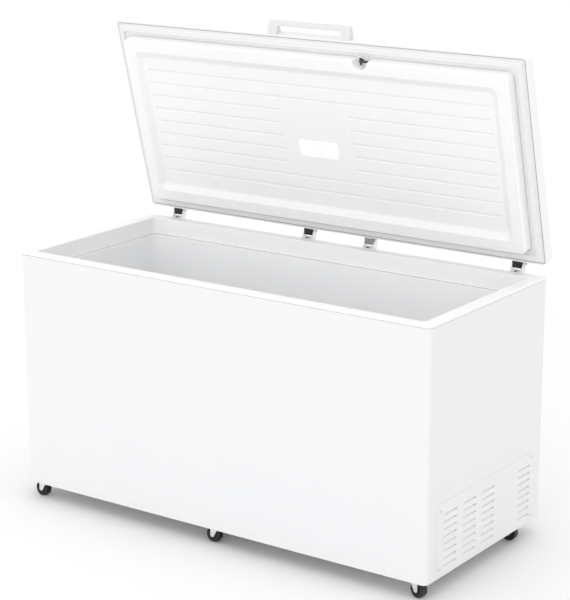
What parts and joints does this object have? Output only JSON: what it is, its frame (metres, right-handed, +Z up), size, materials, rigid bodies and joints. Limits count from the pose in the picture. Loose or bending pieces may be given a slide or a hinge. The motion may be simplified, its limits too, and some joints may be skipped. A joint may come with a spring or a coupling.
{
  "type": "chest freezer",
  "caption": "White chest freezer on castors with its hinged lid held open; deep stepped tub, ribbed inner lid with lamp, front handle, key lock and side vent louvres.",
  "frame": {"origin": "floor level, centre of the footprint of the freezer with its lid open", "axes": "+X right seen from the front, +Y to the rear, +Z up; the lid is stored open"},
  "size_m": [1.5648, 0.7292, 1.5911],
  "materials": {
    "white_sheet": "smooth white enamel",
    "white_liner": "satin white coil-coated sheet",
    "white_plastic": "satin white moulding",
    "insulation": "cream rigid foam",
    "grey_gasket": "soft pale grey",
    "zinc": "zinc-plated pressing",
    "black_plastic": "matte black",
    "grey_metal": "grey cap",
    "dark_steel": "dark plated",
    "black_enamel": "black enamel",
    "wheel_black": "black moulded",
    "copper": "bright copper tube",
    "alloy_tube": "plain",
    "clear_lens": "frosted white lens",
    "circuit_board": "green"
  },
  "bodies": {
    "cabinet": {"outer_shell": "white_sheet", "back_panel": "white_sheet", "base_pan": "zinc", "compressor_bulkhead": "zinc", "cabinet_foam": "insulation", "inner_liner": "white_liner", "top_collar": "white_plastic", "side_vent_panel": "white_sheet", "compressor": "black_enamel", "compressor_tray": "zinc", "compressor_grommets": "wheel_black", "relay_cover": "black_plastic", "filter_drier": "copper", "discharge_tube": "copper", "suction_tube": "copper", "evaporator_coil": "alloy_tube", "condenser_coil": "black_enamel", "thermostat_body": "black_plastic", "cord_gland": "black_plastic", "drain_tube": "white_plastic", "castor_plates": "zinc", "hinge_cabinet_leaves": "zinc", "cabinet_screws": "zinc", "hinge_pins": "zinc", "hinge_springs": "dark_steel"},
    "lid": {"lid_skin": "white_sheet", "lid_foam": "insulation", "lid_liner": "white_plastic", "lid_gasket": "grey_gasket", "lid_handle": "white_plastic", "lid_screws": "zinc", "lamp_base": "white_plastic", "lamp_lens": "clear_lens", "lamp_board": "circuit_board", "lock_sleeve": "white_plastic", "hinge_lid_leaves": "zinc", "hinge_spring_covers": "black_plastic", "hinge_plain_cover": "grey_metal"},
    "lock_cam": {"lock_cam": "dark_steel"},
    "thermostat_knob": {"thermostat_knob": "black_plastic"},
    "drain_plug": {"drain_plug": "white_plastic"},
    "drain_cap": {"drain_cap": "black_plastic"},
    "castor_front_left": {"castor_fork_1": "zinc", "castor_axle_1": "zinc"},
    "wheel_front_left": {"castor_wheel_1": "wheel_black"},
    "castor_front_middle": {"castor_fork_2": "zinc", "castor_axle_2": "zinc"},
    "wheel_front_middle": {"castor_wheel_2": "wheel_black"},
    "castor_front_right": {"castor_fork_3": "zinc", "castor_axle_3": "zinc"},
    "wheel_front_right": {"castor_wheel_3": "wheel_black"},
    "castor_rear_left": {"castor_fork_4": "zinc", "castor_axle_4": "zinc"},
    "wheel_rear_left": {"castor_wheel_4": "wheel_black"},
    "castor_rear_middle": {"castor_fork_5": "zinc", "castor_axle_5": "zinc"},
    "wheel_rear_middle": {"castor_wheel_5": "wheel_black"},
    "castor_rear_right": {"castor_fork_6": "zinc", "castor_axle_6": "zinc"},
    "wheel_rear_right": {"castor_wheel_6": "wheel_black"}
  },
  "joints": [
    {"name": "lid_hinge", "type": "hinge", "parent": "cabinet", "child": "lid", "pos_m": [0, 0.34, 0.8655], "axis": [1, 0, 0], "range_deg": [0, 75], "stiffness_Nm_per_rad": 28.7, "springref_deg": -25.9, "deforming": ["hinge_springs"]},
    {"name": "lock_turn", "type": "hinge", "parent": "lid", "child": "lock_cam", "pos_m": [0.206, 0.14591, 1.48746], "axis": [0, -0.9659, -0.2588], "range_deg": [0, 90]},
    {"name": "thermostat_turn", "type": "hinge", "parent": "cabinet", "child": "thermostat_knob", "pos_m": [0.59, 0.327, 0.235], "axis": [0, 1, 0], "range_deg": [0, 300]},
    {"name": "drain_plug_lift", "type": "slide", "parent": "cabinet", "child": "drain_plug", "axis": [0, 0, 1], "range_m": [0, 0.04]},
    {"name": "drain_cap_pull", "type": "slide", "parent": "cabinet", "child": "drain_cap", "axis": [0, 0, -1], "range_m": [0, 0.02]},
    {"name": "swivel_front_left", "type": "hinge", "parent": "cabinet", "child": "castor_front_left", "pos_m": [-0.722, -0.332, 0.064], "axis": [0, 0, 1], "continuous": true},
    {"name": "roll_front_left", "type": "hinge", "parent": "castor_front_left", "child": "wheel_front_left", "pos_m": [-0.74, -0.332, 0.025], "axis": [0, -1, 0], "continuous": true},
    {"name": "swivel_front_middle", "type": "hinge", "parent": "cabinet", "child": "castor_front_middle", "pos_m": [0, -0.332, 0.064], "axis": [0, 0, 1], "continuous": true},
    {"name": "roll_front_middle", "type": "hinge", "parent": "castor_front_middle", "child": "wheel_front_middle", "pos_m": [-0.018, -0.332, 0.025], "axis": [0, -1, 0], "continuous": true},
    {"name": "swivel_front_right", "type": "hinge", "parent": "cabinet", "child": "castor_front_right", "pos_m": [0.722, -0.332, 0.064], "axis": [0, 0, 1], "continuous": true},
    {"name": "roll_front_right", "type": "hinge", "parent": "castor_front_right", "child": "wheel_front_right", "pos_m": [0.73961, -0.33574, 0.025], "axis": [0.2079, 0.9781, 0], "continuous": true},
    {"name": "swivel_rear_left", "type": "hinge", "parent": "cabinet", "child": "castor_rear_left", "pos_m": [-0.722, 0.216, 0.064], "axis": [0, 0, 1], "continuous": true},
    {"name": "roll_rear_left", "type": "hinge", "parent": "castor_rear_left", "child": "wheel_rear_left", "pos_m": [-0.74, 0.216, 0.025], "axis": [0, -1, 0], "continuous": true},
    {"name": "swivel_rear_middle", "type": "hinge", "parent": "cabinet", "child": "castor_rear_middle", "pos_m": [0, 0.216, 0.064], "axis": [0, 0, 1], "continuous": true},
    {"name": "roll_rear_middle", "type": "hinge", "parent": "castor_rear_middle", "child": "wheel_rear_middle", "pos_m": [-0.018, 0.216, 0.025], "axis": [0, -1, 0], "continuous": true},
    {"name": "swivel_rear_right", "type": "hinge", "parent": "cabinet", "child": "castor_rear_right", "pos_m": [0.722, 0.216, 0.064], "axis": [0, 0, 1], "continuous": true},
    {"name": "roll_rear_right", "type": "hinge", "parent": "castor_rear_right", "child": "wheel_rear_right", "pos_m": [0.74, 0.216, 0.025], "axis": [0, 1, 0], "continuous": true}
  ]
}
